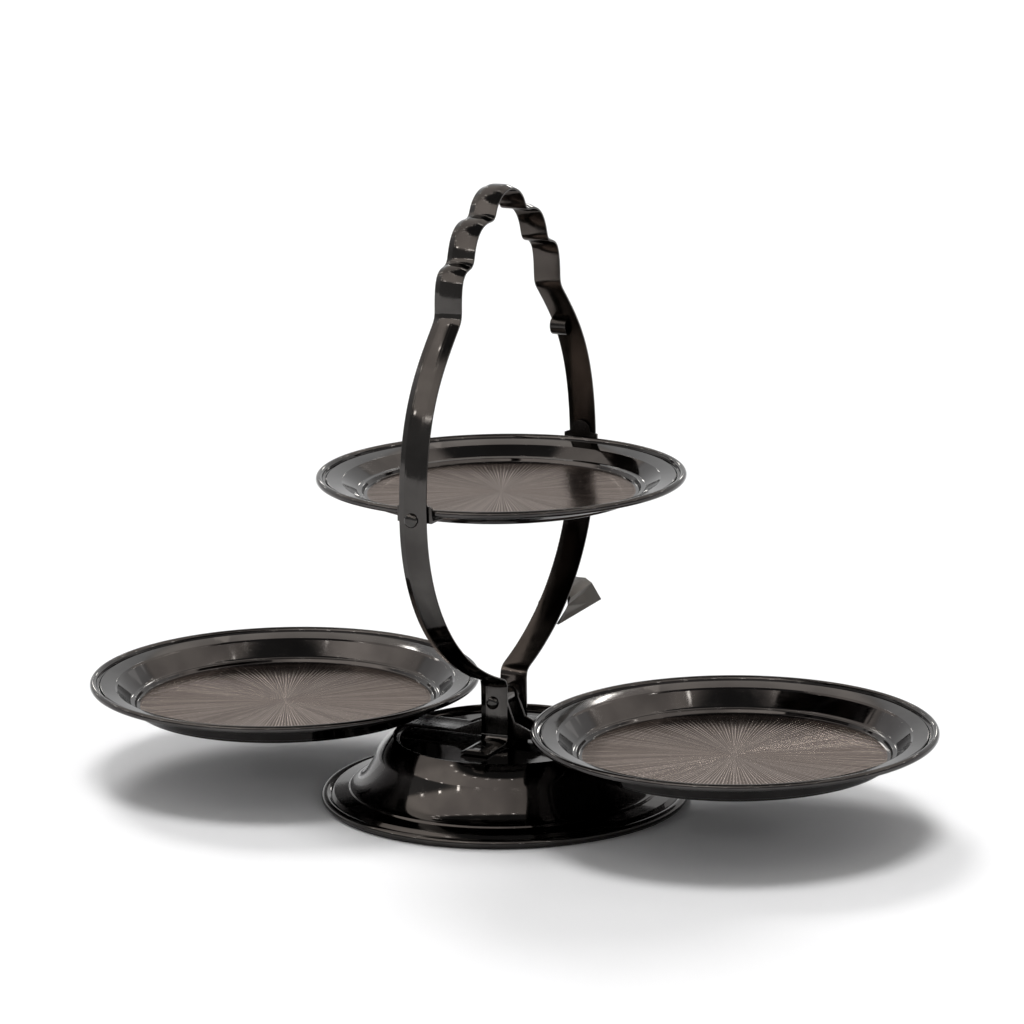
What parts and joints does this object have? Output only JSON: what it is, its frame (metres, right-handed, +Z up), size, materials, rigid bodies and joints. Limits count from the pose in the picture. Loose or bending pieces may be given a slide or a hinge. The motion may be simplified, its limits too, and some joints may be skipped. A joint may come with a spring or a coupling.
{
  "type": "tiered cake stand",
  "caption": "Folding tiered cake stand: round hollow base, strip hoop with a wavy grip, a tilting plate between its arms and a folding plate on each side.",
  "frame": {"origin": "centre of the base's underside, on the surface the stand rests on", "axes": "+Z up; X runs through the two lower plates, with +X towards the right one; the hoop stands in the YZ plane and every joint axis is parallel to Y"},
  "size_m": [0.3832, 0.17, 0.2639],
  "materials": {
    "plate_chrome": "dark smoked chrome rim, satin sunburst floor",
    "base_chrome": "dark smoked mirror chrome",
    "strip_chrome": "dark smoked mirror chrome, lightly grooved",
    "bracket_steel": "dark satin plated steel",
    "rivet_steel": "dark plated steel",
    "tab_satin": "satin plated steel"
  },
  "bodies": {
    "frame": {"base": "base_chrome", "hoop": "strip_chrome", "foot_rivet_near": "rivet_steel", "foot_rivet_far": "rivet_steel", "pivot_rivet_near": "rivet_steel", "pivot_rivet_far": "rivet_steel", "pivot_washer_near": "rivet_steel", "pivot_washer_far": "rivet_steel", "fold_pin": "rivet_steel", "fold_sleeve": "rivet_steel", "fold_washer_near": "rivet_steel", "fold_washer_far": "rivet_steel", "rim_catch": "bracket_steel", "thumb_tab": "tab_satin"},
    "top_tray": {"top_plate": "plate_chrome", "pivot_bracket_near": "bracket_steel", "pivot_bracket_far": "bracket_steel"},
    "left_tray": {"left_plate": "plate_chrome", "left_arm": "bracket_steel"},
    "right_tray": {"right_plate": "plate_chrome", "right_arm": "bracket_steel"}
  },
  "joints": [
    {"name": "top_plate_tilt", "type": "hinge", "parent": "frame", "child": "top_tray", "pos_m": [0, 0, 0.1382], "axis": [0, 1, 0], "range_deg": [-90, 90]},
    {"name": "left_plate_fold", "type": "hinge", "parent": "frame", "child": "left_tray", "pos_m": [0, 0, 0.0437], "axis": [0, 1, 0], "range_deg": [0, 50]},
    {"name": "right_plate_fold", "type": "hinge", "parent": "frame", "child": "right_tray", "pos_m": [0, 0, 0.0437], "axis": [0, -1, 0], "range_deg": [0, 50]}
  ]
}
